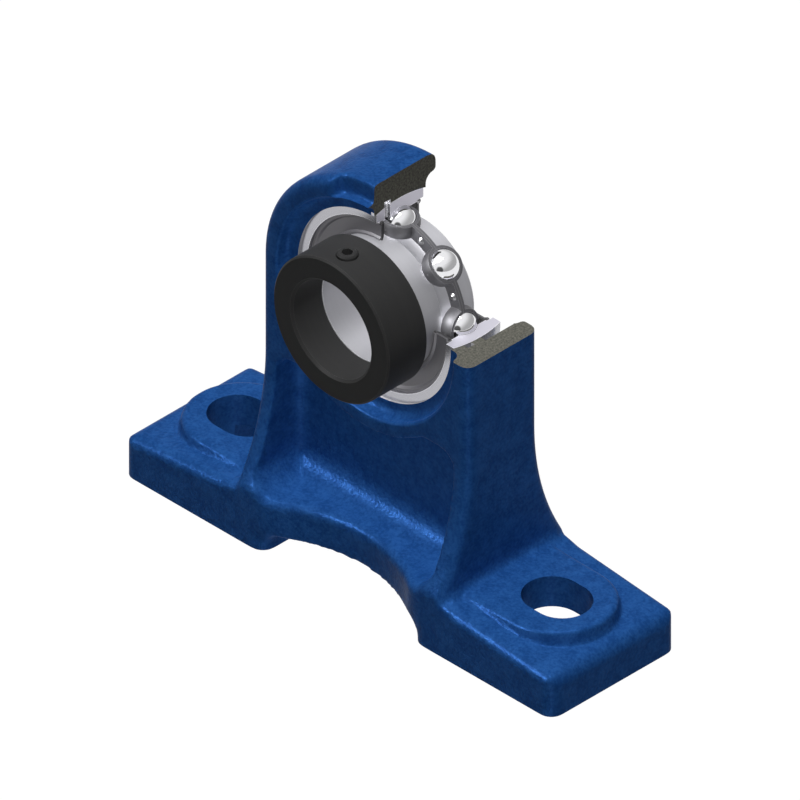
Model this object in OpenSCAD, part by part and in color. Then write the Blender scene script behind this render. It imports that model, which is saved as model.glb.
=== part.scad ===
// Pillow block unit for a 30 mm shaft: a tall cast iron housing with a ball
// bearing insert that is locked on the shaft by an eccentric collar.
// The unit is a sectioned one: the quarter of the housing, the outer ring and
// the seals that lies above the shaft axis on the +X side is cut away.
// X runs along the base, Z is up, the shaft lies along Y, and the collar is on
// the -Y side. The origin is on the mounting face, midway between the bolts.

/* [Base] */
// Length over both feet
base_l = 165; // [150:1:185]
// Width of the feet, along the shaft
base_w = 48.5; // [46:0.5:56]
// Corner radius of the feet, seen from above
foot_corner_r = 4; // [2:0.5:8]
// Height of a foot at its outer end
foot_end_h = 15; // [12:0.5:16]
// Fall of the foot top towards its outer end, in degrees
foot_slope = 3; // [1:0.5:4]
// Rounding along the top edge of a foot at its outer end
foot_edge_r = 4; // [2:0.5:5]
// Rounding along the top edges of a foot at its long sides
foot_side_r = 2; // [1:0.5:4]
// Length of the relief under the middle of the base
relief_l = 57; // [50:1:64]
// Height of the relief under the middle of the base
relief_h = 6; // [3:0.5:8]
// Fillet along the top corners of the relief
relief_fillet = 3; // [1:0.5:4]
// Half width of the pocket that is cored out under each foot
core_r = 14.5; // [12:0.5:15]
// Height of the pocket under each foot
core_h = 8; // [4:0.5:9]
// Rib left between the relief and each pocket
core_rib = 7; // [5:0.5:10]
// Corner radius at the inner end of each pocket
core_corner_r = 5; // [2:0.5:6]
// Length of the waist that is scooped out of each long side
waist_l = 55.6; // [48:1:60]
// Depth of the waist at mid length
waist_depth = 9.4; // [6:0.2:11]
// Rounding where the waist runs out into the feet
waist_end_r = 14; // [6:1:16]

/* [Bolt slots] */
// Distance between the two bolt slots
bolt_spacing = 121; // [116:1:128]
// Width of a bolt slot
slot_w = 17; // [12:0.5:19]
// Length of a bolt slot
slot_l = 21; // [19:0.5:24]
// Rise of the pad round a slot above the outer end of the foot
pad_rise = 3; // [2:0.2:5]
// Half width of the raised pad
pad_r = 16.9; // [13:0.1:18]
// Rounding along the edge of the raised pad
pad_edge_r = 1.2; // [0.4:0.2:1.6]

/* [Upright] */
// Height of the shaft axis above the mounting face
shaft_h = 90; // [84:1:100]
// Thickness of the head outside the recess
head_wall = 6.2; // [5:0.1:9]
// Thickness of the upright, along the shaft
upright_t = 27.5; // [25:0.5:31]
// Radius of the flare from the upright down to the base
flare_r = 81; // [76:1:90]
// Distance from the shaft axis down to the start of the flare
flare_drop = 32; // [28:1:34]
// Thickness of each side flange
flange_t = 5.6; // [4:0.2:8]
// Thickness of the web between the flanges
web_t = 8; // [6:0.5:12]
// Thickness of the boss outside the recess, where the web meets it
boss_wall = 4.6; // [3:0.1:5]
// Rounding along the outer edges of the head and the flanges
edge_r = 3; // [1:0.5:4]
// Distance from the shaft axis down to the top corners of the pockets
pocket_drop = 31.2; // [28:0.2:33]
// Corner radius at the top of the pockets
pocket_corner_r = 6; // [3:0.5:8]
// Height of the ledge at the foot of the web
ledge_h = 17.5; // [16:0.5:20]
// Fillet between the web and the flanges
web_fillet = 4; // [2:0.5:6]
// Fillet of the ledge against the web and the flanges
ledge_fillet = 8; // [4:0.5:9]
// Rounding along the outer edge of the ledge
ledge_edge_r = 2.5; // [1:0.5:3]
// Fillet between the upright and the feet
side_fillet = 4; // [2:0.5:6]

/* [Bearing seat] */
// Radial room between the seat's sphere and the wall of each recess
recess_gap = 2.5; // [2:0.1:4]
// Width by which the seat stands out past each side of the outer ring
seat_margin = 0.9; // [0.4:0.1:1.5]
// Fillet at the floor of each recess
recess_fillet = 3; // [1:0.5:3.5]
// Chamfer at the mouth of each recess
recess_chamfer = 0.8; // [0.4:0.1:1.2]
// Width of the notch in the front rim, at twelve o'clock
notch_w = 25; // [18:1:28]
// Rounding at the ends of the notch
notch_end_r = 2.2; // [2:0.1:3]
// Radial room for the outer ring in the loading slots at three and nine o'clock
loading_gap = 1.9; // [1:0.1:2.4]
// Width of the lubrication groove in the seat
oil_groove_w = 2.4; // [1.6:0.2:3]
// Depth of the lubrication groove in the seat
oil_groove_depth = 1.2; // [0.6:0.1:1.6]
// Distance of the lubrication groove from the mid plane
oil_groove_a = 4.8; // [4:0.2:5.6]

/* [Bearing] */
// Height of the bearing from its bore to its spherical outside
section_h = 16; // [15.7:0.1:16.5]
// Width of the outer ring
outer_w = 18; // [17:0.5:18.5]
// Diameter of the shaft bore
bore_d = 30; // [28:0.5:31]
// Diameter of the balls
ball_d = 9.525; // [9:0.025:9.8]
// Number of balls
ball_n = 8; // [8:1:8]
// Distance from the pitch circle in to the shoulders of the inner ring
inner_shoulder = 3; // [2.6:0.1:3.4]
// Distance from the pitch circle out to the shoulders of the outer ring
outer_shoulder = 3.3; // [2.8:0.1:3.8]
// Distance from the mid plane to the rear end of the inner ring
inner_rear = 9; // [8.5:0.1:10]
// Diameter of the lubrication hole in the outer ring
oil_hole_d = 2; // [1.5:0.1:2.4]

/* [Locking collar] */
// Wall of the collar
collar_wall = 7.25; // [6.5:0.05:9]
// Length of the collar
collar_l = 15.2; // [13:0.1:18]
// Gap between the outer ring and the collar
collar_gap = 2.5; // [2:0.1:3.5]
// Wall of the eccentric cam on the inner ring
cam_wall = 2.8; // [2.2:0.1:3.4]
// Length of the cam inside the collar
cam_l = 3.3; // [2:0.1:5]
// Offset of the cam from the shaft axis
cam_offset = 0.8; // [0.4:0.1:1.2]
// Distance of the set screw from the middle of the collar towards the front
screw_shift = 1.2; // [0.8:0.1:2]
// Diameter of the set screw
screw_d = 6; // [5:0.5:7]
// Distance that the set screw stands out of the collar
screw_proud = 0.8; // [0:0.1:1.5]
// Hex socket of the set screw, across the flats
socket_af = 3; // [2:0.5:3.5]

/* [Cage] */
// Thickness of the cage strip
strip_t = 0.8; // [0.5:0.1:1]
// Radial height of the cage strip
strip_h = 4; // [3:0.2:4.6]
// Diameter of the rivet shanks
rivet_d = 1.5; // [1.2:0.1:1.8]
// Diameter of the rivet heads
rivet_head_d = 2.4; // [2:0.1:2.8]

/* [Seals] */
// Gap between the cage and the rubber of each seal
seal_gap = 0.44; // [0.3:0.02:0.6]
// Radial depth of the step that holds the seal
seal_step = 0.5; // [0.4:0.1:0.8]
// Thickness of the seal's sheet metal
sheet_t = 0.5; // [0.3:0.1:0.6]
// Thickness of the seal's rubber
rubber_t = 0.7; // [0.4:0.1:0.8]

/* [Fits] */
// Radial clearance between the outer ring and its seat
seat_gap = 0.1; // [0.05:0.01:0.2]
// Clearance between the balls and the raceways
race_gap = 0.08; // [0.05:0.01:0.12]
// Clearance between the balls and the cage pockets
pocket_gap = 0.15; // [0.1:0.01:0.25]
// Clearance between parts that slip over each other
slip_gap = 0.1; // [0.05:0.01:0.15]

/* [Hidden] */
$fn = 96;
paint_blue = [0.11, 0.30, 0.58];
steel = [0.72, 0.72, 0.75];
dark_steel = [0.33, 0.33, 0.35];
black_oxide = [0.13, 0.13, 0.14];
rubber = [0.08, 0.08, 0.09];

// Overshoot of a cutter past the face that it opens
over = 1;

half_l = base_l / 2;
half_w = base_w / 2;
half_t = upright_t / 2;
pad_h = foot_end_h + pad_rise;
slot_x = bolt_spacing / 2;
flare_z = shaft_h - flare_drop;
web_y = web_t / 2;

outer_d = bore_d + 2 * section_h;
seat_r = outer_d / 2 + seat_gap;
seat_w = outer_w + 2 * seat_margin;
recess_r = seat_r + recess_gap;
loading_r = seat_r + loading_gap;
head_r = recess_r + head_wall;
boss_r = recess_r + boss_wall;
flange_x = head_r - flange_t;

// Circle of the waist, and the circles that run it out into the feet
waist_r = (pow(waist_l / 2, 2) + pow(waist_depth, 2)) / (2 * waist_depth);
waist_y = -half_w + waist_depth - waist_r;
waist_end_y = -half_w + waist_end_r;
waist_end_x = sqrt(pow(waist_r + waist_end_r, 2) - pow(waist_end_y - waist_y, 2));

bore_r = bore_d / 2;
pitch_r = (bore_d + section_h) / 2;
race_r = ball_d / 2 + race_gap;
inner_land_r = pitch_r - inner_shoulder;
outer_land_r = pitch_r + outer_shoulder;
pocket_r = ball_d / 2 + pocket_gap;
ball_step = 360 / ball_n;

collar_rear = outer_w / 2 + collar_gap;
collar_front = collar_rear + collar_l;
collar_r = bore_r + collar_wall;
cam_r = bore_r + cam_wall;
cam_a = collar_rear - 2 * slip_gap;
inner_front = collar_rear + cam_l;
collar_step_a = inner_front + 3 * slip_gap;
screw_a = (collar_rear + collar_front) / 2 + screw_shift;
screw_r = screw_d / 2 - slip_gap;
screw_l = collar_wall - 3 * slip_gap + screw_proud;
edge_chamfer = 0.5;
bore_chamfer = 0.7;

// Rear face of a seal's rubber, the shoulder it seats on, and its sheet
rubber_a = pocket_r + strip_t + seal_gap;
sheet_a = rubber_a + rubber_t;
seal_a = sheet_a - sheet_t / 2;
seal_r = outer_land_r + seal_step;
// Where the inner edge of the sheet starts to bend outwards
bend_r = inner_land_r + 2.5 * sheet_t;

// Height of the foot top at distance x from the middle
function foot_top(x) = foot_end_h + (half_l - x) * tan(foot_slope);

// Puts what is drawn about the Z axis on the shaft axis, with +Z to the front
module on_shaft() {
    translate([0, 0, shaft_h]) rotate([90, 0, 0]) children();
}

// Turns a profile about the shaft axis and leaves the sectioned quarter open
module turned_section() {
    on_shaft() rotate([0, 0, 90]) rotate_extrude(angle = 270) children();
}

// Draws what is given on both ends of the base
module both_ends() {
    children();
    mirror([1, 0, 0]) children();
}

// Draws what is given on the front and on the rear
module both_sides() {
    children();
    mirror([0, 1, 0]) children();
}

// Bar of length l and width w with rounded corners, centred
module rounded_bar(l, w, r) {
    square([l - 2 * r, w], center = true);
    square([l, w - 2 * r], center = true);
    for (x = [-1, 1], y = [-1, 1])
        translate([x * (l / 2 - r), y * (w / 2 - r)]) circle(r = r);
}

// What fills the inner corner at the origin between +X and +Y with a fillet
module corner_fill(r) {
    difference() {
        square(r);
        translate([r, r]) circle(r = r);
    }
}

// Side view of one foot, with its sloping top and its rounded outer edge
module foot_side() {
    cx = half_l - foot_edge_r;
    cz = foot_top(half_l) - foot_edge_r * tan(45 - foot_slope / 2);
    polygon([
        [flange_x, 0],
        [half_l, 0],
        [half_l, cz],
        [cx + foot_edge_r * sin(foot_slope), cz + foot_edge_r * cos(foot_slope)],
        [flange_x, foot_top(flange_x)]
    ]);
    translate([cx, cz]) circle(r = foot_edge_r);
}

// End view of one foot, with rounded long edges; the top lies at zero
module foot_end() {
    translate([0, -1.5 * foot_end_h]) rounded_bar(base_w, 3 * foot_end_h, foot_side_r);
}

// Half of the raised pad in section, with its rounded edge
module pad_section() {
    square([pad_r - pad_edge_r, pad_h]);
    square([pad_r, pad_h - pad_edge_r]);
    translate([pad_r - pad_edge_r, pad_h - pad_edge_r]) circle(r = pad_edge_r);
}

module foot() {
    intersection() {
        linear_extrude(2 * foot_end_h) rounded_bar(base_l, base_w, foot_corner_r);
        rotate([90, 0, 0]) translate([0, 0, -half_w]) linear_extrude(base_w) foot_side();
        translate([half_l, 0, foot_end_h]) rotate([0, foot_slope, 0])
            rotate([90, 0, -90]) translate([0, 0, -over]) linear_extrude(half_l) foot_end();
    }
    // Raised pad under the bolt head
    intersection() {
        linear_extrude(2 * pad_h) rounded_bar(base_l, base_w, foot_corner_r);
        union() {
            translate([slot_x, 0, 0]) rotate_extrude() pad_section();
            translate([flange_x, 0, 0]) rotate([90, 0, 90]) linear_extrude(slot_x - flange_x) {
                pad_section();
                mirror([1, 0]) pad_section();
            }
        }
    }
}

// Front view of the skirt below the flare, with the fillets to the feet
module skirt_front() {
    // A little low, so that the fillets run down into the sloping foot tops
    top = foot_top(head_r + 2 * side_fillet);
    translate([-head_r, 0]) square([2 * head_r, flare_z]);
    for (s = [0, 1]) mirror([s, 0]) {
        translate([head_r, 0]) square([side_fillet, top]);
        translate([head_r, top]) corner_fill(side_fillet);
    }
}

// Cutter for the flare on the front, with the rounding of the outer edges
module flare_cutter() {
    translate([0, -half_t - flare_r, flare_z]) rotate([0, 90, 0]) rotate_extrude() {
        translate([0, -half_l]) square([flare_r, base_l]);
        for (s = [0, 1]) mirror([0, s]) {
            translate([0, head_r]) square([flare_r + edge_r, half_l]);
            translate([flare_r, head_r]) mirror([0, 1]) corner_fill(edge_r);
        }
    }
}

module upright() {
    on_shaft() rotate_extrude(angle = 180) intersection() {
        rounded_bar(2 * head_r, upright_t, edge_r);
        translate([0, -half_t]) square([head_r, upright_t]);
    }
    translate([0, 0, flare_z]) linear_extrude(shaft_h - flare_z)
        rounded_bar(2 * head_r, upright_t, edge_r);
    difference() {
        rotate([90, 0, 0]) translate([0, 0, -half_w]) linear_extrude(base_w) skirt_front();
        both_sides() flare_cutter();
    }
}

// Pocket between the side flanges on the front, seen from the front
module pocket_front() {
    intersection() {
        translate([0, ledge_h + shaft_h / 2])
            rounded_bar(2 * flange_x, shaft_h, ledge_fillet);
        translate([0, shaft_h / 2 - pocket_drop])
            rounded_bar(2 * flange_x, shaft_h, pocket_corner_r);
    }
}

// Pocket with its fillets to the web, the flanges, the ledge and the boss
module pocket() {
    difference() {
        intersection() {
            rotate([90, 0, 0]) linear_extrude(half_w + over) pocket_front();
            linear_extrude(shaft_h) translate([0, -web_y - base_w / 2])
                rounded_bar(2 * flange_x, base_w, web_fillet);
            rotate([90, 0, 90]) translate([0, 0, -half_l]) linear_extrude(base_l)
                translate([-web_y - base_w / 2, ledge_h + shaft_h / 2])
                rounded_bar(base_w, shaft_h, ledge_fillet);
        }
        on_shaft() translate([0, 0, -half_w]) cylinder(r = boss_r, h = base_w);
    }
}

// Waist in the front side seen from above, with its rounded run-outs
module waist_outline() {
    reach = waist_r / (waist_r + waist_end_r);
    touch_x = reach * waist_end_x;
    touch_y = waist_y + reach * (waist_end_y - waist_y);
    difference() {
        union() {
            polygon([
                [-waist_end_x, -half_w - over],
                [waist_end_x, -half_w - over],
                [waist_end_x, -half_w],
                [touch_x, touch_y],
                [-touch_x, touch_y],
                [-waist_end_x, -half_w]
            ]);
            intersection() {
                translate([0, waist_y]) circle(r = waist_r);
                translate([-touch_x, touch_y]) square([2 * touch_x, waist_r]);
            }
        }
        for (s = [-1, 1]) translate([s * waist_end_x, waist_end_y]) circle(r = waist_end_r);
    }
}

// Waist along the front, with a rounding along the edge of the ledge
module waist() {
    translate([0, 0, -over]) linear_extrude(ledge_h + ledge_fillet + over) waist_outline();
    translate([0, waist_y, 0]) rotate_extrude() {
        translate([waist_r - over, ledge_h - ledge_edge_r])
            square([over, ledge_edge_r + ledge_fillet]);
        translate([waist_r, ledge_h]) mirror([0, 1]) corner_fill(ledge_edge_r);
        translate([waist_r, ledge_h]) square([ledge_edge_r, ledge_fillet]);
    }
}

// Relief under the middle of the base, with rounded corners at its mouths
module relief() {
    rotate([90, 0, 0]) translate([0, 0, -half_w - over]) linear_extrude(base_w + 2 * over)
        rounded_bar(relief_l, 2 * relief_h, relief_fillet);
    both_ends() both_sides() translate([relief_l / 2, -half_w, -over])
        linear_extrude(relief_h + over) corner_fill(foot_corner_r);
}

// Pocket cored out under a foot, seen from above, round about the bolt slot
module core_outline() {
    inner_x = relief_l / 2 + core_rib;
    arc_x = inner_x + core_corner_r;
    arc_y = core_r - core_corner_r;
    translate([slot_x, 0]) circle(r = core_r);
    translate([arc_x, -core_r]) square([slot_x - arc_x, 2 * core_r]);
    translate([inner_x, -arc_y]) square([slot_x - inner_x, 2 * arc_y]);
    for (s = [-1, 1]) translate([arc_x, s * arc_y]) circle(r = core_corner_r);
}

// Notch in the front rim seen from above, with rounded ends
module notch_outline() {
    depth = half_t - seat_w / 2;
    reach = notch_end_r * sin(acos(1 - depth / (2 * notch_end_r)));
    difference() {
        union() {
            polygon([
                [-notch_w / 2 - reach, -half_t - over],
                [notch_w / 2 + reach, -half_t - over],
                [notch_w / 2 + reach, -half_t],
                [notch_w / 2, -half_t + depth / 2],
                [-notch_w / 2, -half_t + depth / 2],
                [-notch_w / 2 - reach, -half_t]
            ]);
            intersection() {
                translate([-notch_w / 2, -half_t + depth / 2]) square([notch_w, depth / 2]);
                union() {
                    translate([reach - notch_w / 2, -half_t]) square([notch_w - 2 * reach, depth]);
                    for (s = [-1, 1])
                        translate([s * (notch_w / 2 - reach), -half_t + depth - notch_end_r])
                            circle(r = notch_end_r);
                }
            }
        }
        for (s = [-1, 1])
            translate([s * (notch_w / 2 + reach), -half_t + notch_end_r]) circle(r = notch_end_r);
    }
}

// Half of a recess beside the seat in section, with its fillet and chamfer
module recess_section() {
    depth = half_t - seat_w / 2;
    square([recess_r - recess_fillet, depth + over]);
    translate([0, recess_fillet]) square([recess_r, depth + over - recess_fillet]);
    translate([recess_r - recess_fillet, recess_fillet]) circle(r = recess_fillet);
    polygon([
        [0, depth - recess_chamfer],
        [recess_r, depth - recess_chamfer],
        [recess_r + recess_chamfer + over, depth + over],
        [0, depth + over]
    ]);
}

// Opening for the bearing: spherical seat, recesses, loading slots and groove
module seat_cutter() {
    intersection() {
        sphere(r = seat_r);
        translate([0, 0, -seat_w / 2 - over / 2]) cylinder(r = seat_r + over, h = seat_w + over);
    }
    for (s = [0, 1]) mirror([0, 0, s])
        translate([0, 0, seat_w / 2]) rotate_extrude() recess_section();
    intersection() {
        translate([0, 0, -half_t]) cylinder(r = loading_r, h = half_t);
        translate([-loading_r - over, -seat_w / 2, -half_t - over])
            cube([2 * (loading_r + over), seat_w, half_t + over]);
    }
    translate([0, 0, oil_groove_a - oil_groove_w / 2])
        cylinder(r = seat_r + oil_groove_depth, h = oil_groove_w);
}

module housing() {
    color(paint_blue) difference() {
        union() {
            upright();
            both_ends() foot();
        }
        both_sides() pocket();
        both_sides() waist();
        relief();
        both_ends() translate([0, 0, -over]) linear_extrude(core_h + over) core_outline();
        both_ends() for (s = [-1, 1])
            translate([slot_x + s * (slot_l - slot_w) / 2, 0, -over])
                cylinder(d = slot_w, h = pad_h + 2 * over);
        both_ends() translate([slot_x - (slot_l - slot_w) / 2, -slot_w / 2, -over])
            cube([slot_l - slot_w, slot_w, pad_h + 2 * over]);
        on_shaft() seat_cutter();
        // Notch that opens the front rim at the top
        translate([0, 0, shaft_h + recess_r / 2]) linear_extrude(head_r) notch_outline();
        // The quarter that is sectioned away
        translate([0, -half_w, shaft_h]) cube([half_l, base_w, half_l]);
    }
}

module outer_ring() {
    color(steel) difference() {
        turned_section() difference() {
            intersection() {
                circle(d = outer_d);
                translate([outer_land_r, -outer_w / 2]) square([outer_d, outer_w]);
            }
            translate([pitch_r, 0]) circle(r = race_r);
            for (s = [0, 1]) mirror([0, s])
                translate([0, seal_a]) square([seal_r, outer_w]);
        }
        // Lubrication hole, cut along its axis by the section
        on_shaft() translate([0, 0, oil_groove_a]) rotate([-90, 0, 0])
            cylinder(d = oil_hole_d, h = outer_d);
    }
}

module inner_ring() {
    color(steel) on_shaft() difference() {
        union() {
            rotate_extrude() difference() {
                polygon([
                    [0, -inner_rear],
                    [inner_land_r - edge_chamfer, -inner_rear],
                    [inner_land_r, -inner_rear + edge_chamfer],
                    [inner_land_r, cam_a],
                    [0, cam_a]
                ]);
                translate([pitch_r, 0]) circle(r = race_r);
            }
            translate([0, cam_offset, cam_a - over]) cylinder(r = cam_r, h = inner_front - cam_a + over);
        }
        translate([0, 0, -inner_rear - over]) cylinder(r = bore_r, h = inner_rear + inner_front + 2 * over);
        translate([0, 0, -inner_rear - over])
            cylinder(r1 = bore_r + over + edge_chamfer, r2 = bore_r, h = over + edge_chamfer);
    }
}

module locking_collar() {
    color(black_oxide) on_shaft() difference() {
        rotate_extrude() polygon([
            [bore_r, collar_rear],
            [collar_r - edge_chamfer, collar_rear],
            [collar_r, collar_rear + edge_chamfer],
            [collar_r, collar_front - edge_chamfer],
            [collar_r - edge_chamfer, collar_front],
            [bore_r + bore_chamfer, collar_front],
            [bore_r, collar_front - bore_chamfer]
        ]);
        // Eccentric recess that grips the cam of the inner ring
        translate([0, cam_offset, collar_rear - over])
            cylinder(r = cam_r + slip_gap, h = collar_step_a - collar_rear + over);
        translate([0, 0, screw_a]) rotate([-90, 0, 0]) {
            cylinder(r = screw_d / 2, h = collar_r + over);
            translate([0, 0, collar_r - edge_chamfer])
                cylinder(r1 = screw_d / 2, r2 = screw_d / 2 + 2 * edge_chamfer, h = 2 * edge_chamfer);
        }
    }
}

module collar_set_screw() {
    socket_depth = screw_l / 2;
    color(black_oxide) on_shaft() translate([0, 0, screw_a]) rotate([-90, 0, 0])
        translate([0, 0, bore_r + 3 * slip_gap]) difference() {
            union() {
                cylinder(r1 = screw_r - edge_chamfer, r2 = screw_r, h = edge_chamfer);
                translate([0, 0, edge_chamfer]) cylinder(r = screw_r, h = screw_l - 2 * edge_chamfer);
                translate([0, 0, screw_l - edge_chamfer])
                    cylinder(r1 = screw_r, r2 = screw_r - edge_chamfer, h = edge_chamfer);
            }
            translate([0, 0, screw_l - socket_depth])
                cylinder(d = socket_af / cos(30), h = socket_depth + over, $fn = 6);
        }
}

// One pressed half of the ribbon cage, on the front of the mid plane
module cage_half() {
    strip_r = pitch_r - strip_h / 2;
    difference() {
        intersection() {
            union() {
                cylinder(r = pitch_r + strip_h, h = strip_t);
                for (i = [0 : ball_n - 1]) rotate([0, 0, i * ball_step])
                    translate([pitch_r, 0, 0]) sphere(r = pocket_r + strip_t);
            }
            difference() {
                cylinder(r = strip_r + strip_h, h = ball_d);
                translate([0, 0, -over]) cylinder(r = strip_r, h = ball_d + 2 * over);
            }
        }
        for (i = [0 : ball_n - 1]) rotate([0, 0, i * ball_step]) {
            translate([pitch_r, 0, 0]) sphere(r = pocket_r);
            rotate([0, 0, ball_step / 2]) translate([pitch_r, 0, -over])
                cylinder(d = rivet_d, h = strip_t + 2 * over);
        }
    }
}

module cage_front_half() {
    color(dark_steel) on_shaft() cage_half();
}

module cage_rear_half() {
    color(dark_steel) on_shaft() mirror([0, 0, 1]) cage_half();
}

module cage_rivets() {
    head_h = rivet_head_d / 4;
    color(steel) on_shaft() for (i = [0 : ball_n - 1])
        rotate([0, 0, (i + 0.5) * ball_step]) translate([pitch_r, 0, 0]) {
            translate([0, 0, -strip_t]) cylinder(d = rivet_d, h = 2 * strip_t);
            for (s = [0, 1]) mirror([0, 0, s]) translate([0, 0, strip_t])
                cylinder(d1 = rivet_head_d, d2 = rivet_head_d / 2, h = head_h);
        }
}

// Stamped sheet metal of a seal, seen in section on the front side
module seal_shield_section() {
    lip_r = inner_land_r + sheet_t;
    polygon([
        [seal_r, seal_a],
        [seal_r, sheet_a + 1.7 * sheet_t],
        [seal_r - sheet_t, sheet_a + 2.3 * sheet_t],
        [seal_r - 2 * sheet_t, sheet_a + 2.3 * sheet_t],
        [seal_r - 3.2 * sheet_t, sheet_a + sheet_t],
        [bend_r + sheet_t / 2, sheet_a + sheet_t],
        [bend_r - sheet_t / 3, sheet_a + 2 * sheet_t],
        [lip_r, sheet_a + 2 * sheet_t],
        [lip_r, sheet_a + sheet_t],
        [lip_r + 0.7 * sheet_t, sheet_a + sheet_t],
        [bend_r, sheet_a],
        [seal_r - 2.7 * sheet_t, sheet_a],
        [seal_r - 1.7 * sheet_t, sheet_a + 1.3 * sheet_t],
        [seal_r - sheet_t, sheet_a + 1.1 * sheet_t],
        [seal_r - sheet_t, seal_a]
    ]);
}

// Rubber of a seal, bonded behind the sheet metal, with its lip on the ring
module seal_lip_section() {
    rim_r = outer_land_r - slip_gap;
    lip_r = inner_land_r + slip_gap;
    polygon([
        [rim_r, rubber_a],
        [rim_r, seal_a],
        [rim_r - sheet_t, sheet_a],
        [bend_r, sheet_a],
        [lip_r, rubber_a + 1.2 * rubber_t],
        [lip_r, rubber_a + 0.6 * rubber_t],
        [lip_r + 2 * rubber_t, rubber_a]
    ]);
}

module front_seal_shield() {
    color(dark_steel) turned_section() seal_shield_section();
}

module front_seal_lip() {
    color(rubber) turned_section() seal_lip_section();
}

module rear_seal_shield() {
    color(dark_steel) turned_section() mirror([0, 1]) seal_shield_section();
}

module rear_seal_lip() {
    color(rubber) turned_section() mirror([0, 1]) seal_lip_section();
}

// Ball number i, counted clockwise from twelve o'clock as the front shows it
module ball(i) {
    color(steel) on_shaft() rotate([0, 0, 90 - (i - 1) * ball_step])
        translate([pitch_r, 0, 0]) sphere(d = ball_d);
}

housing();
outer_ring();
inner_ring();
locking_collar();
collar_set_screw();
cage_front_half();
cage_rear_half();
cage_rivets();
front_seal_shield();
front_seal_lip();
rear_seal_shield();
rear_seal_lip();
ball(1);  // ball_1
ball(2);  // ball_2
ball(3);  // ball_3
ball(4);  // ball_4
ball(5);  // ball_5
ball(6);  // ball_6
ball(7);  // ball_7
ball(8);  // ball_8
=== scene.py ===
import math

import bmesh
import bpy
import numpy as np
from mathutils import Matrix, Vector


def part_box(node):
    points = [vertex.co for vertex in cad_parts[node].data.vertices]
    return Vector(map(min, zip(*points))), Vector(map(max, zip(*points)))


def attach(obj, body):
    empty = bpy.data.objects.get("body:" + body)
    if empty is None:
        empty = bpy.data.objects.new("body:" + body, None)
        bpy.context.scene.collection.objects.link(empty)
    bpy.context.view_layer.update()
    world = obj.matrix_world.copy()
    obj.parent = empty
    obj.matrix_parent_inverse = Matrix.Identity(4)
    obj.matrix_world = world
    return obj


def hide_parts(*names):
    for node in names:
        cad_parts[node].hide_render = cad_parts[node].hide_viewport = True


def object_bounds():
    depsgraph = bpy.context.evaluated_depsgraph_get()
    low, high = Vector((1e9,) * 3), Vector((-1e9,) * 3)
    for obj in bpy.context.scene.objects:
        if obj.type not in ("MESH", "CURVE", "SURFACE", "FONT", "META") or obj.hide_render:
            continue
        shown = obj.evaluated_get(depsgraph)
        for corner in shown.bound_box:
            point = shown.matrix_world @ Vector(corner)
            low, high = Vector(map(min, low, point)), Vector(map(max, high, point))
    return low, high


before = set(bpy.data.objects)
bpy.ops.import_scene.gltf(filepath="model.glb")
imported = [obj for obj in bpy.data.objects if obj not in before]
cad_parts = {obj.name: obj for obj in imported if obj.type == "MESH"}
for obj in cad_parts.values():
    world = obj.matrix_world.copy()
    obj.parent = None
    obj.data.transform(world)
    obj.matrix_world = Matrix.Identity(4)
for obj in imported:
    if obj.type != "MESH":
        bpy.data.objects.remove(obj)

cad_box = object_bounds()
scene = bpy.context.scene
MM = 0.001


# Camera: the photograph is an isometric view from the front right and above, without perspective.
# It looks at the middle of the unit's height, straight over the middle of the base.

VIEW_FROM = Vector((1, -1, 1)).normalized()
VIEW_TARGET = Vector((0, 0, 53.5 * MM))
VIEW_WIDTH = 217.7 * MM
VIEW_DISTANCE = 1.0

camera = bpy.data.objects.new("camera", bpy.data.cameras.new("camera"))
scene.collection.objects.link(camera)
camera.data.type = "ORTHO"
camera.data.ortho_scale = VIEW_WIDTH
camera.data.clip_end = 10
camera.location = VIEW_TARGET + VIEW_FROM * VIEW_DISTANCE
camera.rotation_euler = VIEW_FROM.to_track_quat("Z", "Y").to_euler()
scene.camera = camera


# Studio: a high lamp without shadows, as in a drawing, a soft one that shades, and a weak one from below.
# A narrow lamp only glints on rounded edges. The room is even, and the pale floor shows white.

LAMPS = (
    # name, where the light comes from, level, spread in degrees, casts shadows, lights matt surfaces
    ("high_lamp", (0.05, -0.06, 1.0), 2.48, 12, False, True),
    ("shading_lamp", (-0.25, -0.35, 0.90), 0.35, 50, True, True),
    ("low_lamp", (0.52, -0.50, -0.69), 0.80, 20, False, True),
    ("glint_lamp", (-0.404, -0.739, 0.531), 8.0, 5, False, False),
)
ROOM_LEVEL = 0.06
ROOM_SHADE = 0.45
ROOM_BRIGHT_SIDE = Vector((-0.45, -0.35, 0.82))
ROOM_TURN = (-0.25, 0.55)
ROOM_DARK_SPOT = Vector((0.483, -0.865, 0.132))
ROOM_SPOT_EDGE = (0.90, 0.95)
ROOM_SPOT_LEVEL = 0.12
FLOOR_SIZE = 3.0
FLOOR_COLOUR = (0.07, 0.07, 0.07, 1)
FLOOR_GLOW = 0.95
FLOOR_GAP = 0.1 * MM


def put(tree, socket, value):
    """Links an output to the input socket, or sets a plain value on it."""
    if isinstance(value, bpy.types.NodeSocket):
        tree.links.new(value, socket)
    else:
        socket.default_value = value


def add_node(tree, kind, inputs=None, **settings):
    """Adds a node, sets its plain settings, and sets or links its inputs."""
    node = tree.nodes.new(kind)
    for name, value in settings.items():
        setattr(node, name, value)
    for name, value in (inputs or {}).items():
        put(tree, node.inputs[name], value)
    return node


def maths(tree, operation, a, b=None):
    """One Math node; a and b are numbers or sockets."""
    inputs = {0: a} if b is None else {0: a, 1: b}
    return add_node(tree, "ShaderNodeMath", inputs, operation=operation).outputs[0]


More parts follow.
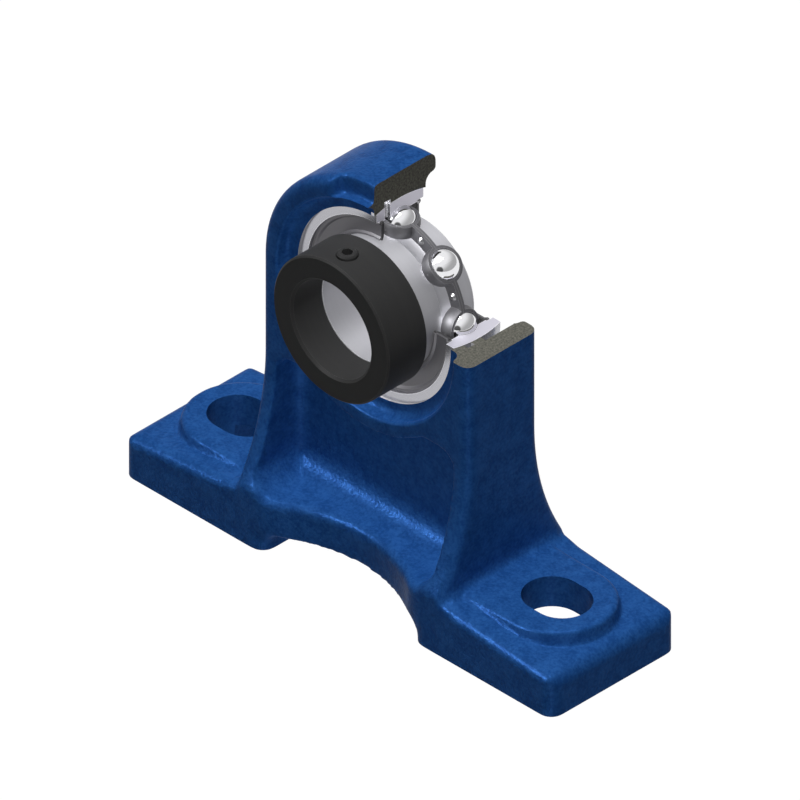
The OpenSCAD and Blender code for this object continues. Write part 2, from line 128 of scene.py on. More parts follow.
def alignment(tree, a, b):
    """1 where two directions are the same, 0 where they are square to each other."""
    return add_node(tree, "ShaderNodeVectorMath", {0: a, 1: b}, operation="DOT_PRODUCT").outputs["Value"]


def seen_directly(tree):
    """1 for a ray from the camera or off a mirror-like surface, 0 for light that spreads."""
    path = add_node(tree, "ShaderNodeLightPath")
    mirrored = maths(tree, "MAXIMUM", path.outputs["Is Glossy Ray"], path.outputs["Is Transmission Ray"])
    return maths(tree, "MAXIMUM", path.outputs["Is Camera Ray"], mirrored)


for name, source, level, spread, shades, on_matt in LAMPS:
    lamp = bpy.data.objects.new(name, bpy.data.lights.new(name, "SUN"))
    scene.collection.objects.link(lamp)
    lamp.data.energy = level
    lamp.data.angle = math.radians(spread)
    lamp.data.use_shadow = shades
    lamp.visible_diffuse = on_matt
    lamp.rotation_euler = Vector(source).to_track_quat("Z", "Y").to_euler()

room = bpy.data.worlds.new("room")
scene.world = room
room.use_nodes = True
room.node_tree.nodes.clear()
# Reflections see a darker far side, which gives polished steel its shape, and one dark spot, as of a doorway
tree = room.node_tree
direction = add_node(tree, "ShaderNodeTexCoord").outputs["Generated"]
mirrored = add_node(tree, "ShaderNodeMapRange", {
    "Value": alignment(tree, direction, ROOM_BRIGHT_SIDE),
    "From Min": ROOM_TURN[0], "From Max": ROOM_TURN[1], "To Min": ROOM_SHADE, "To Max": 1.0},
    interpolation_type="SMOOTHSTEP").outputs[0]
spot_light = add_node(tree, "ShaderNodeMapRange", {
    "Value": alignment(tree, direction, ROOM_DARK_SPOT), "From Min": ROOM_SPOT_EDGE[0],
    "From Max": ROOM_SPOT_EDGE[1], "To Min": 1.0, "To Max": ROOM_SPOT_LEVEL}).outputs[0]
mirrored = maths(tree, "MULTIPLY", mirrored, spot_light)
path = add_node(tree, "ShaderNodeLightPath").outputs
straight = maths(tree, "MAXIMUM", path["Is Camera Ray"], path["Is Transmission Ray"])
seen = maths(tree, "MAXIMUM", straight, maths(tree, "MULTIPLY", path["Is Glossy Ray"], mirrored))
room_light = add_node(tree, "ShaderNodeBackground", {
    "Color": (1, 1, 1, 1), "Strength": maths(tree, "MAXIMUM", seen, ROOM_LEVEL)})
add_node(tree, "ShaderNodeOutputWorld", {"Surface": room_light.outputs[0]})

half = FLOOR_SIZE / 2
floor_mesh = bpy.data.meshes.new("floor")
floor_mesh.from_pydata([(-half, -half, 0), (half, -half, 0), (half, half, 0), (-half, half, 0)],
                       [], [(0, 1, 2, 3)])
floor = bpy.data.objects.new("floor", floor_mesh)
scene.collection.objects.link(floor)
floor.location.z = cad_box[0][2] - FLOOR_GAP
floor_finish = bpy.data.materials.new("pale_floor")
floor_finish.use_nodes = True
tree = floor_finish.node_tree
tree.nodes.clear()
matt = add_node(tree, "ShaderNodeBsdfDiffuse", {"Color": FLOOR_COLOUR})
glow = add_node(tree, "ShaderNodeEmission", {
    "Strength": maths(tree, "MULTIPLY", seen_directly(tree), FLOOR_GLOW)})
both = add_node(tree, "ShaderNodeAddShader", {0: matt.outputs[0], 1: glow.outputs[0]})
add_node(tree, "ShaderNodeOutputMaterial", {"Surface": both.outputs[0]})
floor_mesh.materials.append(floor_finish)


# Housing: one grey iron casting in blue enamel, sprayed over the sand-cast skin after machining.
# The spherical seat and the mounting face are bare machined iron, and so is the sectioned quarter.

SHAFT_Z = (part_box("ball_1")[0].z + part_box("ball_5")[1].z) / 2
PAINT = (0.0180, 0.092, 0.318, 1)
PAINT_THIN = (0.0225, 0.106, 0.350, 1)
PAINT_DEEP = (0.0105, 0.062, 0.235, 1)
IRON_CUT = (0.185, 0.182, 0.155, 1)
IRON_CUT_DARK = (0.085, 0.084, 0.075, 1)
IRON_TURNED = (0.36, 0.36, 0.37, 1)
ON_CUT = 0.03 * MM
SEAT_REACH = 33.3 * MM
CAST_VOXEL = 0.6 * MM
CAST_SHARE = 0.58
CAST_PASSES = 4
MILLED_OFF = 2.5 * MM
CREASE = math.radians(38)
CAST_SPOTS = (
    # where the sand rounded the edges more: middle, reach and further smoothing passes there
    (Vector((0, -10, 127)) * MM, 17 * MM, 6),
    (Vector((29, -24, 3)) * MM, 8 * MM, 21),
    (Vector((29, 24, 3)) * MM, 8 * MM, 21),
    (Vector((31, -23, 19)) * MM, 7 * MM, 18),
    (Vector((31, 23, 19)) * MM, 7 * MM, 18),
)
# Feet: half length and width, then height at the end, fall and edge rounding, of the solid and of the casting
FOOT = (82.5 * MM, 24.25 * MM)
FOOT_SOLID = (15 * MM, 0.0524, 2 * MM)
FOOT_CAST = (13 * MM, 0.0940, 3.2 * MM)
FOOT_ROOT = 38 * MM
# Pad on a foot: middle along X and half width; then slot and pocket: nearest and farthest X, half width, corner
PAD = (60.5 * MM, 16.9 * MM)
PAD_TOP = 18 * MM
SLOT = (50 * MM, 71 * MM, 8.5 * MM, 8.5 * MM)
POCKET_SOLID = (36.3 * MM, 75 * MM, 14.5 * MM, 5 * MM)
POCKET = (36.3 * MM, 69 * MM, 18 * MM, 6 * MM)
POCKET_TOP = 8 * MM
SEAT_SPHERE = 31.1 * MM
SEAT_HALF = 9.9 * MM
RECESS = 33.6 * MM
RECESS_FILLET = 3.0 * MM
RECESS_MOUTH = 1.2 * MM
HEAD_HALF = 13.75 * MM
LOADING_SLOT = 33.0 * MM
SLOT_START = 25 * MM
# Lubrication groove: nearest and farthest Y, and radius of its bottom
GROOVE = (3.6 * MM, 6.0 * MM, 32.3 * MM)
CLEAR_SIDE = 100 * MM
CLEAR_DEPTH = 50 * MM


def new_group(name, inputs, outputs):
    """A shader node group with named sockets; gives its tree, its inputs and its output node."""
    group = bpy.data.node_groups.new(name, "ShaderNodeTree")
    for socket, default in inputs.items():
        kind = "NodeSocketColor" if isinstance(default, tuple) else "NodeSocketFloat"
        group.interface.new_socket(socket, in_out="INPUT", socket_type=kind).default_value = default
    for socket, kind in outputs.items():
        group.interface.new_socket(socket, in_out="OUTPUT", socket_type=kind)
    return group, group.nodes.new("NodeGroupInput").outputs, group.nodes.new("NodeGroupOutput").inputs


def use_group(tree, group, inputs=None):
    """Places a node group in a material with its own values and gives its outputs."""
    return add_node(tree, "ShaderNodeGroup", inputs, node_tree=group).outputs


def object_place(tree):
    """X, Y and Z of the point on the object, and of its normal, from the unit's own axes."""
    place = add_node(tree, "ShaderNodeTexCoord")
    point = add_node(tree, "ShaderNodeSeparateXYZ", {0: place.outputs["Object"]}).outputs
    facing = add_node(tree, "ShaderNodeSeparateXYZ", {0: place.outputs["Normal"]}).outputs
    return place.outputs["Object"], point, facing


def from_shaft(tree, point):
    """Distance of the point from the shaft axis."""
    rise = maths(tree, "SUBTRACT", point["Z"], SHAFT_Z)
    return maths(tree, "SQRT", maths(tree, "ADD", maths(tree, "MULTIPLY", point["X"], point["X"]),
                                     maths(tree, "MULTIPLY", rise, rise)))


def blend_colour(tree, mask, a, b):
    """Colour a where the mask is 0 and colour b where it is 1."""
    mix = tree.nodes.new("ShaderNodeMix")
    mix.data_type = "RGBA"
    for socket, value in ((mix.inputs[0], mask), (mix.inputs[6], a), (mix.inputs[7], b)):
        put(tree, socket, value)
    return mix.outputs[2]


def blend_value(tree, mask, a, b):
    """Value a where the mask is 0 and value b where it is 1."""
    return add_node(tree, "ShaderNodeMapRange", {"Value": mask, "To Min": a, "To Max": b}).outputs[0]


def between(tree, value, low, high):
    """0 where the value is at low, 1 where it is at high."""
    return add_node(tree, "ShaderNodeMapRange", {"Value": value, "From Min": low, "From Max": high}).outputs[0]


def noise(tree, point, scale, detail=2.0, roughness=0.5):
    """Noise between 0 and 1 over the surface; scale is in lumps per metre."""
    return add_node(tree, "ShaderNodeTexNoise", {
        "Vector": point, "Scale": scale, "Detail": detail, "Roughness": roughness}).outputs["Fac"]


# Where the two section planes through the shaft axis cut a piece: 1 on the cut, 0 elsewhere
section_cut, _, ends = new_group("section_cut", {}, {"Mask": "NodeSocketFloat"})
_, point, facing = object_place(section_cut)
above = maths(section_cut, "SUBTRACT", point["Z"], SHAFT_Z)
on_plane = {}
for name, across, along, normal in (("upright", point["X"], above, facing["X"]),
                                    ("level", above, point["X"], facing["Z"])):
    near = maths(section_cut, "LESS_THAN", maths(section_cut, "ABSOLUTE", across), ON_CUT)
    side = maths(section_cut, "GREATER_THAN", along, -0.1 * MM)
    square_on = maths(section_cut, "GREATER_THAN", normal, 0.98)
    on_plane[name] = maths(section_cut, "MULTIPLY", maths(section_cut, "MULTIPLY", near, side), square_on)
section_cut.links.new(maths(section_cut, "MAXIMUM", on_plane["upright"], on_plane["level"]), ends["Mask"])

# Sharp outer edges of a piece, as a mask for lighter rims: a painted highlight on the steels, and on the black
# oxide a painted highlight where the finish also wears thin
edge_highlight_and_wear, starts, ends = new_group("edge_highlight_and_wear", {"Width": 0.4 * MM, "Strength": 1.0},
                                    {"Mask": "NodeSocketFloat"})
bevel = add_node(edge_highlight_and_wear, "ShaderNodeBevel", {"Radius": starts["Width"]}, samples=6)
flat = add_node(edge_highlight_and_wear, "ShaderNodeNewGeometry")
turned = alignment(edge_highlight_and_wear, bevel.outputs[0], flat.outputs["Normal"])
at_edge = between(edge_highlight_and_wear, turned, 0.995, 0.86)
edge_highlight_and_wear.links.new(maths(edge_highlight_and_wear, "MULTIPLY", at_edge, starts["Strength"]), ends["Mask"])

# Skin of a casting or of paint over it: fine grain with soft lumps
cast_skin, starts, ends = new_group("cast_skin", {"Grain": 900.0, "Lumps": 220.0},
                                    {"Height": "NodeSocketFloat", "Mottle": "NodeSocketFloat"})
spot, _, _ = object_place(cast_skin)
grain = noise(cast_skin, spot, starts["Grain"], 3.0, 0.55)
lumps = noise(cast_skin, spot, starts["Lumps"], 2.0, 0.5)
cast_skin.links.new(maths(cast_skin, "ADD", grain, maths(cast_skin, "MULTIPLY", lumps, 0.8)), ends["Height"])
cast_skin.links.new(noise(cast_skin, spot, 60.0, 4.0, 0.6), ends["Mottle"])

# Marks of a lathe or grinder: fine rings round the shaft axis
lathe_marks, starts, ends = new_group("lathe_marks", {"Fineness": 3500.0},
                                      {"Height": "NodeSocketFloat", "Streak": "NodeSocketFloat"})
_, point, _ = object_place(lathe_marks)
rings = add_node(lathe_marks, "ShaderNodeCombineXYZ",
                 {"X": from_shaft(lathe_marks, point), "Y": point["Y"]}).outputs[0]
lathe_marks.links.new(noise(lathe_marks, rings, starts["Fineness"], 2.0, 0.6), ends["Height"])
lathe_marks.links.new(noise(lathe_marks, rings, 400.0, 3.0, 0.6), ends["Streak"])


def finish(name, **sockets):
    """A material with a Principled shader whose constant sockets are set directly."""
    material = bpy.data.materials.new(name)
    material.use_nodes = True
    material.node_tree.nodes.clear()
    shader = material.node_tree.nodes.new("ShaderNodeBsdfPrincipled")
    for socket, value in sockets.items():
        shader.inputs[socket.replace("_", " ")].default_value = value
    add_node(material.node_tree, "ShaderNodeOutputMaterial", {"Surface": shader.outputs[0]})
    return material, material.node_tree, shader.inputs


def feed(tree, sockets, **sources):
    """Links outputs that vary over the surface to the shader's sockets."""
    for socket, source in sources.items():
        tree.links.new(source, sockets[socket.replace("_", " ")])


def bump(tree, height, distance, strength=1.0):
    """Normal of a surface that rises by the distance where the height is 1."""
    return add_node(tree, "ShaderNodeBump", {
        "Height": height, "Distance": distance, "Strength": strength}).outputs[0]


def dress(node, material):
    """Puts the finish on a CAD node, in place of its plain colour."""
    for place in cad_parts[node].material_slots:
        place.material = material


enamel, tree, sockets = finish("blue_enamel", Specular_IOR_Level=0.007)
skin = use_group(tree, cast_skin, {"Grain": 1100.0, "Lumps": 260.0})
cut = use_group(tree, section_cut)["Mask"]
_, point, facing = object_place(tree)
in_seat = maths(tree, "MULTIPLY", maths(tree, "LESS_THAN", from_shaft(tree, point), SEAT_REACH),
                maths(tree, "LESS_THAN", maths(tree, "ABSOLUTE", point["Y"]), SEAT_HALF - 0.05 * MM))
underneath = maths(tree, "MULTIPLY", maths(tree, "LESS_THAN", point["Z"], 0.1 * MM),
                   maths(tree, "LESS_THAN", facing["Z"], -0.9))
turned = maths(tree, "MAXIMUM", in_seat, underneath)
machined = maths(tree, "MULTIPLY", turned, maths(tree, "SUBTRACT", 1.0, cut))
bare = maths(tree, "MAXIMUM", turned, cut)
paint = blend_colour(tree, skin["Mottle"], PAINT, PAINT_THIN)
paint = blend_colour(tree, between(tree, skin["Height"], 0.7, 1.1), PAINT_DEEP, paint)
speckle = between(tree, noise(tree, object_place(tree)[0], 1500.0, 3.0, 0.7), 0.35, 0.62)
iron = blend_colour(tree, machined, blend_colour(tree, speckle, IRON_CUT_DARK, IRON_CUT), IRON_TURNED)
feed(tree, sockets,
     Base_Color=blend_colour(tree, bare, paint, iron),
     Metallic=blend_value(tree, bare, 0.05, maths(tree, "MULTIPLY", machined, 0.8)),
     Roughness=blend_value(tree, bare, blend_value(tree, skin["Mottle"], 0.30, 0.38), 0.55),
     Normal=bump(tree, skin["Height"], blend_value(tree, bare, 0.15 * MM, 0.10 * MM)))
dress("housing", enamel)


def closed_half(node):
    """The half of a CAD node on the -X side, mirrored to a whole that isn't sectioned."""
    whole = bmesh.new()
    whole.from_mesh(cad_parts[node].data)
    bmesh.ops.remove_doubles(whole, verts=whole.verts, dist=0.001 * MM)
    bmesh.ops.bisect_plane(whole, geom=whole.verts[:] + whole.edges[:] + whole.faces[:], dist=0.0001 * MM,
                           plane_co=(0, 0, 0), plane_no=(1, 0, 0), clear_outer=True)
    lids = [face for face in whole.faces if all(abs(vertex.co.x) < 0.001 * MM for vertex in face.verts)]
    bmesh.ops.delete(whole, geom=lids, context="FACES")
    bmesh.ops.mirror(whole, geom=whole.verts[:] + whole.edges[:] + whole.faces[:], axis="X",
                     merge_dist=0.001 * MM)
    bmesh.ops.recalc_face_normals(whole, faces=whole.faces)
    return whole


def new_piece(name, shape):
    """An object from a bmesh, which is freed."""
    mesh = bpy.data.meshes.new(name)
    shape.to_mesh(mesh)
    shape.free()
    piece = bpy.data.objects.new(name, mesh)
    scene.collection.objects.link(piece)
    return piece


def apply_modifiers(piece):
    """Gives the piece the mesh that its modifiers make, and removes them."""
    evaluated = piece.evaluated_get(bpy.context.evaluated_depsgraph_get())
    mesh = bpy.data.meshes.new_from_object(evaluated)
    piece.modifiers.clear()
    old = piece.data
    piece.data = mesh
    bpy.data.meshes.remove(old)
    mesh.name = piece.name


def soften(mesh, passes_at):
    """Moves each vertex towards its neighbours as many times as passes_at(points) gives for it."""
    count = len(mesh.vertices)
    points = np.empty(count * 3)
    mesh.vertices.foreach_get("co", points)
    points = points.reshape(-1, 3)
    edges = np.empty(len(mesh.edges) * 2, np.int64)
    mesh.edges.foreach_get("vertices", edges)
    first, second = edges.reshape(-1, 2).T
    neighbours = np.maximum(np.bincount(edges, minlength=count), 1)
    passes = passes_at(points)
    for step in range(int(passes.max())):
        middle = np.stack([(np.bincount(first, points[second, axis], count)
                            + np.bincount(second, points[first, axis], count)) / neighbours
                           for axis in range(3)], axis=1)
        share = np.clip(passes - step, 0, 1) * 0.5
        points += (middle - points) * share[:, None]
    mesh.vertices.foreach_set("co", points.ravel())
    mesh.update()


def cast_passes(points):
    """Smoothing passes over the casting, more at the spots where its edges are rounder."""
    passes = np.full(len(points), float(CAST_PASSES))
    folded = np.hstack([np.abs(points[:, :1]), points[:, 1:]])
    for middle, reach, extra in CAST_SPOTS:
        far = np.linalg.norm(folded - np.array(middle), axis=1) / reach
        passes += extra * np.clip(1.6 * (1 - far), 0, 1)
    return passes


def ease(value):
    """0 below 0, 1 above 1 and a smooth rise between."""
    value = np.clip(value, 0, 1)
    return value * value * (3 - 2 * value)


def shape_feet(mesh):
    """Lets the feet fall beside their pads as the casting's do, and presses their edges to its rounding."""
    points = np.empty(len(mesh.vertices) * 3)
    mesh.vertices.foreach_get("co", points)
    points = points.reshape(-1, 3)
    along, across = np.abs(points[:, :2]).T
    solid_top = FOOT_SOLID[0] + (FOOT[0] - along) * FOOT_SOLID[1]
    top = FOOT_CAST[0] + (FOOT[0] - along) * FOOT_CAST[1]
    drop = np.maximum(solid_top - top, 0) * ease((along - FOOT_ROOT) / (5 * MM))
    from_pad = np.hypot(np.maximum(along - PAD[0], 0), across) - PAD[1]
    beside_pad = ease((from_pad + 0.2 * MM) / MM)
    level = np.clip((points[:, 2] - 5 * MM) / (solid_top - 8 * MM), 0, 1)
    below_flank = np.clip((solid_top + 4 * MM - points[:, 2]) / (3 * MM), 0, 1)
    points[:, 2] -= drop * beside_pad * level * below_flank

    rounding = FOOT_SOLID[2] + (FOOT_CAST[2] - FOOT_SOLID[2]) * ease((along - 40 * MM) / (6 * MM))
    beyond = np.stack([along - FOOT[0], across - FOOT[1], np.minimum(points[:, 2] - top, 0)], axis=1)
    beyond = np.maximum(beyond + rounding[:, None], 0)
    reach = np.maximum(np.linalg.norm(beyond, axis=1), 1e-9)
    share = (beyond[:, 2] > 0) & ((beyond[:, 0] > 0) | (beyond[:, 1] > 0))
    below_step = np.clip((top + 1.6 * MM - points[:, 2]) / (1.5 * MM), 0, 1)
    share = share * ease((along - FOOT_ROOT) / (4 * MM)) * below_step
    points -= np.sign(points) * beyond * (share * np.maximum(reach - rounding, 0) / reach)[:, None]
    mesh.vertices.foreach_set("co", points.ravel())
    mesh.update()


def lathe(profile, steps=160):
    """A closed solid turned about the shaft axis from (distance along Y, radius) points."""
    turned = bmesh.new()
    rings = []
    for step in range(steps):
        angle = 2 * math.pi * step / steps
        rings.append([turned.verts.new((radius * math.cos(angle), along, SHAFT_Z + radius * math.sin(angle)))
                      for along, radius in profile])
    for ring, after in zip(rings, rings[1:] + rings[:1]):
        for k in range(len(profile) - 1):
            turned.faces.new((ring[k], ring[k + 1], after[k + 1], after[k]))
    turned.faces.new([ring[0] for ring in rings])
    turned.faces.new([ring[-1] for ring in rings][::-1])
    bmesh.ops.recalc_face_normals(turned, faces=turned.faces)
    return turned


def cut_away(piece, *tools):
    """Cuts the tools out of the piece, one after the other, and removes them."""
    for tool in tools:
        cut = piece.modifiers.new(tool.name, "BOOLEAN")
        cut.operation = "DIFFERENCE"
        cut.solver = "EXACT"
        cut.object = tool
    apply_modifiers(piece)
    for tool in tools:
        bpy.data.objects.remove(tool)


def crease(mesh, angle):
    """Smooth shading, but for edges that turn by more than the angle."""
    shape = bmesh.new()
    shape.from_mesh(mesh)
    for face in shape.faces:
        face.smooth = True
    for edge in shape.edges:
        edge.smooth = len(edge.link_faces) == 2 and edge.calc_face_angle(0) < angle
    shape.to_mesh(mesh)
    shape.free()


def prism(outline, along_from, along_to, upright=False):
    """A closed solid from (X, Z) points, drawn out along Y, or from (X, Y) points, drawn out along Z."""
    solid = bmesh.new()
    ends = [[solid.verts.new((x, other, along) if upright else (x, along, other)) for x, other in outline]
            for along in (along_from, along_to)]
    for near, far, near_next, far_next in zip(*ends, *(end[1:] + end[:1] for end in ends)):
        solid.faces.new((near, far, far_next, near_next))
    solid.faces.new(ends[0])
    solid.faces.new(ends[1][::-1])
    bmesh.ops.recalc_face_normals(solid, faces=solid.faces)
    return solid


def arc(reach, angles):
    """Points on a circle about the shaft axis, as (X, Z)."""
    return [(reach * math.cos(angle), SHAFT_Z + reach * math.sin(angle)) for angle in angles]


def rounded_bar(side, near, far, half_width, corner, grown=0.0):
    """Outline of a rounded bar of (X, Y) points between two distances from the middle, on the side 1 or -1."""
    outline = []
    for quarter_turn in range(4):
        turn = math.pi / 2 * quarter_turn
        middle_x = (far - corner) if quarter_turn in (0, 3) else (near + corner)
        middle_y = (half_width - corner) * (1 if quarter_turn < 2 else -1)
        for step in range(13):
            angle = turn + math.pi / 2 * step / 12
            outline.append((side * (middle_x + (corner + grown) * math.cos(angle)),
                            middle_y + (corner + grown) * math.sin(angle)))
    return outline


whole = closed_half("housing")
# It is cast a little deeper than the mounting face, which is milled flat afterwards
for vertex in whole.verts:
    if vertex.co.z < 0.01 * MM:
        vertex.co.z -= MILLED_OFF
# The bore, the slots and the pockets under the feet are filled here, and cut again with crisp edges
plugs = [prism(arc(RECESS, [2 * math.pi * step / 160 for step in range(160)]), -HEAD_HALF, HEAD_HALF)]
for side in (-1, 1):
    plugs.append(prism(rounded_bar(side, *SLOT, grown=0.3 * MM), 5 * MM, PAD_TOP, upright=True))
    plugs.append(prism(rounded_bar(side, *POCKET_SOLID, grown=0.3 * MM), -MILLED_OFF, POCKET_TOP + 0.5 * MM,
                       upright=True))
for plug in plugs:
    filling = bpy.data.meshes.new("filling")
    plug.to_mesh(filling)
    plug.free()
    whole.from_mesh(filling)
    bpy.data.meshes.remove(filling)
casting = new_piece("cast_housing", whole)
remesh = casting.modifiers.new("sand_mould", "REMESH")
remesh.mode = "VOXEL"
remesh.voxel_size = CAST_VOXEL
apply_modifiers(casting)
soften(casting.data, cast_passes)
shape_feet(casting.data)
coarser = casting.modifiers.new("coarser", "DECIMATE")
coarser.ratio = CAST_SHARE
apply_modifiers(casting)

recess_profile = [(HEAD_HALF + MM, RECESS + RECESS_MOUTH)]
for degrees in range(0, 91, 15):
    turn = math.radians(degrees)
    recess_profile.append((HEAD_HALF - RECESS_MOUTH * (1 - math.cos(turn)),
                           RECESS + RECESS_MOUTH * (1 - math.sin(turn))))
for degrees in range(0, 91, 10):
    turn = math.radians(degrees)
    recess_profile.append((SEAT_HALF + RECESS_FILLET * (1 - math.sin(turn)),
                           RECESS - RECESS_FILLET * (1 - math.cos(turn))))
seat_profile = [(-along, radius) for along, radius in recess_profile]
for step in range(37):
    along = SEAT_HALF * (step / 18 - 1)
    seat_profile.append((along, math.sqrt(SEAT_SPHERE ** 2 - along ** 2)))
seat_profile += recess_profile[::-1]
groove_profile = [(-GROOVE[1], SEAT_SPHERE - 4 * MM), (-GROOVE[1], GROOVE[2]),
                  (-GROOVE[0], GROOVE[2]), (-GROOVE[0], SEAT_SPHERE - 4 * MM)]
# The slots on the rear, through which the bearing goes in before it is swung round
slot_angle = math.asin(SEAT_HALF / LOADING_SLOT)
slot_arc = [slot_angle * (step / 6 - 1) for step in range(13)]
slot_outline = [(SLOT_START, SHAFT_Z + SEAT_HALF), (SLOT_START, SHAFT_Z - SEAT_HALF)]
slot_outline += arc(LOADING_SLOT, slot_arc)
slots = [prism([(side * x, z) for x, z in slot_outline], 0, SEAT_HALF + MM) for side in (-1, 1)]
quarter = prism([(0, SHAFT_Z), (CLEAR_SIDE, SHAFT_Z), (CLEAR_SIDE, SHAFT_Z + CLEAR_SIDE),
                 (0, SHAFT_Z + CLEAR_SIDE)], -CLEAR_DEPTH, CLEAR_DEPTH)
below = prism([(-CLEAR_SIDE, -4 * MILLED_OFF), (CLEAR_SIDE, -4 * MILLED_OFF), (CLEAR_SIDE, 0),
               (-CLEAR_SIDE, 0)], -CLEAR_DEPTH, CLEAR_DEPTH)
cut_away(casting, new_piece("seat_tool", lathe(seat_profile)), new_piece("groove_tool", lathe(groove_profile)),
         new_piece("left_slot_tool", slots[0]), new_piece("right_slot_tool", slots[1]),
         new_piece("section_tool", quarter), new_piece("milling_tool", below),
         *[new_piece("foot_slot_tool", prism(rounded_bar(side, *SLOT), -MM, PAD_TOP + MM, upright=True))
           for side in (-1, 1)],
         *[new_piece("pocket_tool", prism(rounded_bar(side, *POCKET), -MM, POCKET_TOP, upright=True))
           for side in (-1, 1)])
crease(casting.data, CREASE)
casting.data.materials.clear()
casting.data.materials.append(enamel)
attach(casting, "housing")
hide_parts("housing")


# Outer ring: hardened bearing steel, ground on its spherical outside and on its faces.
# It is cut with the housing, and the cut shows the raceway and the lubrication hole.

STEEL = (0.47, 0.47, 0.50, 1)
STEEL_STREAK = (0.42, 0.42, 0.45, 1)
# The bright steel colour is a painted highlight on the rims.
STEEL_RIM_HIGHLIGHT = (0.80, 0.80, 0.83, 1)
STEEL_CUT = (0.50, 0.49, 0.55, 1)

ground_steel, tree, sockets = finish("ground_steel", Metallic=0.9)
marks = use_group(tree, lathe_marks, {"Fineness": 5000.0})
cut = use_group(tree, section_cut)["Mask"]
rim_highlight_and_wear = use_group(tree, edge_highlight_and_wear, {"Width": 0.35 * MM})["Mask"]
skin_colour = blend_colour(tree, marks["Streak"], STEEL, STEEL_STREAK)
# Rims take the bright steel colour as a painted highlight.
feed(tree, sockets,
     Base_Color=blend_colour(tree, rim_highlight_and_wear, blend_colour(tree, cut, skin_colour, STEEL_CUT), STEEL_RIM_HIGHLIGHT),
     Roughness=blend_value(tree, cut, blend_value(tree, marks["Streak"], 0.2, 0.32), 0.5),
     Normal=bump(tree, marks["Height"], 0.01 * MM, 0.5))
dress("outer_ring", ground_steel)


# Inner ring: the same steel, with its raceway and an extension that carries the collar's cam.
# It isn't sectioned, so its whole round shows in the opening.

INNER_STREAK = (0.42, 0.42, 0.445, 1)

turned_steel, tree, sockets = finish("turned_steel", Metallic=0.5)
marks = use_group(tree, lathe_marks, {"Fineness": 4200.0})
rim_highlight_and_wear = use_group(tree, edge_highlight_and_wear, {"Width": 0.3 * MM})["Mask"]
skin_colour = blend_colour(tree, marks["Streak"], STEEL, INNER_STREAK)
# Rims take the bright steel colour as a painted highlight.
feed(tree, sockets,
     Base_Color=blend_colour(tree, rim_highlight_and_wear, skin_colour, STEEL_RIM_HIGHLIGHT),
     Roughness=blend_value(tree, marks["Streak"], 0.50, 0.60),
     Normal=bump(tree, marks["Height"], 0.01 * MM, 0.5))
dress("inner_ring", turned_steel)


# Locking collar: turned steel, blackened in oil, with an eccentric recess for the cam.
# A set screw of the same black finish sits in its rim.

OXIDE = (0.040, 0.040, 0.041, 1)
OXIDE_STREAK = (0.047, 0.047, 0.047, 1)
# The lightest black is for the rims: wear of the oxide, and a painted highlight.
OXIDE_WORN_AND_HIGHLIGHT = (0.10, 0.10, 0.10, 1)

blackened, tree, sockets = finish("black_oxide", Specular_IOR_Level=0.02)
marks = use_group(tree, lathe_marks, {"Fineness": 2600.0})
rim_highlight_and_wear = use_group(tree, edge_highlight_and_wear, {"Width": 0.3 * MM, "Strength": 0.8})["Mask"]
tone = blend_colour(tree, marks["Streak"], OXIDE, OXIDE_STREAK)
# Rims are lighter, partly as wear of the oxide and partly as a painted highlight.
feed(tree, sockets,
     Base_Color=blend_colour(tree, rim_highlight_and_wear, tone, OXIDE_WORN_AND_HIGHLIGHT),
     Roughness=blend_value(tree, marks["Streak"], 0.42, 0.55),
     Normal=bump(tree, marks["Height"], 0.02 * MM, 0.6))
dress("locking_collar", blackened)
dress("collar_set_screw", blackened)


# Balls: chrome steel, lapped to a mirror finish.
# Eight of them roll between the rings, each in its own pocket of the cage.

BALL = (0.86, 0.86, 0.88, 1)
BALL_FILM = (0.78, 0.78, 0.80, 1)

mirror_steel, tree, sockets = finish("lapped_balls", Metallic=1.0)
film = noise(tree, object_place(tree)[0], 500.0, 2.0, 0.5)
feed(tree, sockets,
     Base_Color=blend_colour(tree, film, BALL, BALL_FILM),
     Roughness=blend_value(tree, film, 0.03, 0.09))
for number in range(1, 9):
    dress(f"ball_{number}", mirror_steel)


# Cage: two ribbons pressed from steel strip, which hold the balls apart.
# Eight small rivets with bright upset heads clamp them together.

STRIP = (0.13, 0.128, 0.138, 1)
STRIP_DARK = (0.105, 0.105, 0.114, 1)
# The light strip colour is a painted highlight on the rims.
STRIP_RIM_HIGHLIGHT = (0.24, 0.24, 0.25, 1)
RIVET = (0.30, 0.30, 0.31, 1)
RIVET_DARK = (0.24, 0.24, 0.25, 1)

strip_steel, tree, sockets = finish("pressed_strip", Metallic=0.6)
skin = use_group(tree, cast_skin, {"Grain": 2600.0, "Lumps": 700.0})
rim_highlight_and_wear = use_group(tree, edge_highlight_and_wear, {"Width": 0.25 * MM, "Strength": 0.9})["Mask"]
tone = blend_colour(tree, skin["Mottle"], STRIP, STRIP_DARK)
# Rims take the light strip colour as a painted highlight.
feed(tree, sockets,
     Base_Color=blend_colour(tree, rim_highlight_and_wear, tone, STRIP_RIM_HIGHLIGHT),
     Roughness=blend_value(tree, skin["Mottle"], 0.46, 0.58),
     Normal=bump(tree, skin["Height"], 0.015 * MM, 0.5))
dress("cage_front_half", strip_steel)
dress("cage_rear_half", strip_steel)

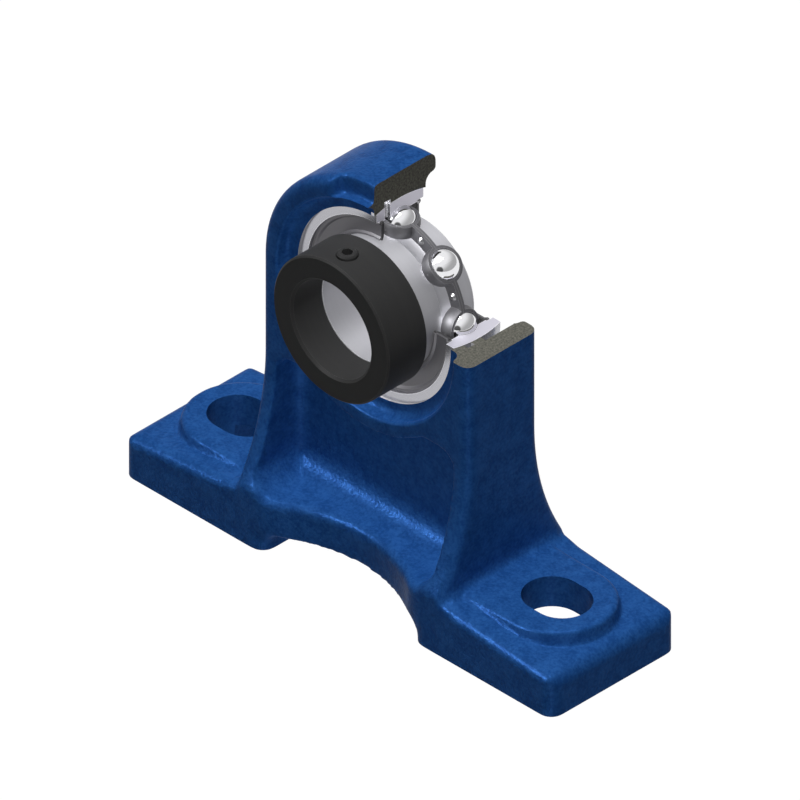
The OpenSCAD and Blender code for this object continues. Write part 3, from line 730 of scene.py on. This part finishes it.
rivet_steel, tree, sockets = finish("rivet_heads", Metallic=0.9)
skin = use_group(tree, cast_skin, {"Grain": 3000.0, "Lumps": 900.0})
feed(tree, sockets,
     Base_Color=blend_colour(tree, skin["Mottle"], RIVET, RIVET_DARK),
     Roughness=blend_value(tree, skin["Mottle"], 0.25, 0.4),
     Normal=bump(tree, skin["Height"], 0.01 * MM, 0.5))
dress("cage_rivets", rivet_steel)


# Seals: a stamped sheet on each side, crimped into the outer ring, with rubber bonded behind it.
# The rubber's lip runs on the inner ring. Both are cut with the outer ring.

SHEET = (0.118, 0.115, 0.125, 1)
SHEET_STREAK = (0.098, 0.096, 0.104, 1)
# The light sheet colour is a painted highlight on the rims.
SHEET_RIM_HIGHLIGHT = (0.22, 0.22, 0.23, 1)
RUBBER = (0.018, 0.018, 0.020, 1)
RUBBER_BLOOM = (0.03, 0.03, 0.032, 1)

sheet_steel, tree, sockets = finish("stamped_sheet", Metallic=0.5)
marks = use_group(tree, lathe_marks, {"Fineness": 1800.0})
rim_highlight_and_wear = use_group(tree, edge_highlight_and_wear, {"Width": 0.2 * MM, "Strength": 0.8})["Mask"]
tone = blend_colour(tree, marks["Streak"], SHEET, SHEET_STREAK)
# Rims take the light sheet colour as a painted highlight.
feed(tree, sockets,
     Base_Color=blend_colour(tree, rim_highlight_and_wear, tone, SHEET_RIM_HIGHLIGHT),
     Roughness=blend_value(tree, marks["Streak"], 0.42, 0.55),
     Normal=bump(tree, marks["Height"], 0.01 * MM, 0.5))
dress("front_seal_shield", sheet_steel)
dress("rear_seal_shield", sheet_steel)

nitrile, tree, sockets = finish("nitrile_rubber", Specular_IOR_Level=0.4)
skin = use_group(tree, cast_skin, {"Grain": 2000.0, "Lumps": 600.0})
feed(tree, sockets,
     Base_Color=blend_colour(tree, skin["Mottle"], RUBBER, RUBBER_BLOOM),
     Roughness=blend_value(tree, skin["Mottle"], 0.6, 0.75),
     Normal=bump(tree, skin["Height"], 0.02 * MM, 0.5))
dress("front_seal_lip", nitrile)
dress("rear_seal_lip", nitrile)


# Plain colours, through the Standard view transform.

scene.view_settings.view_transform = "Standard"
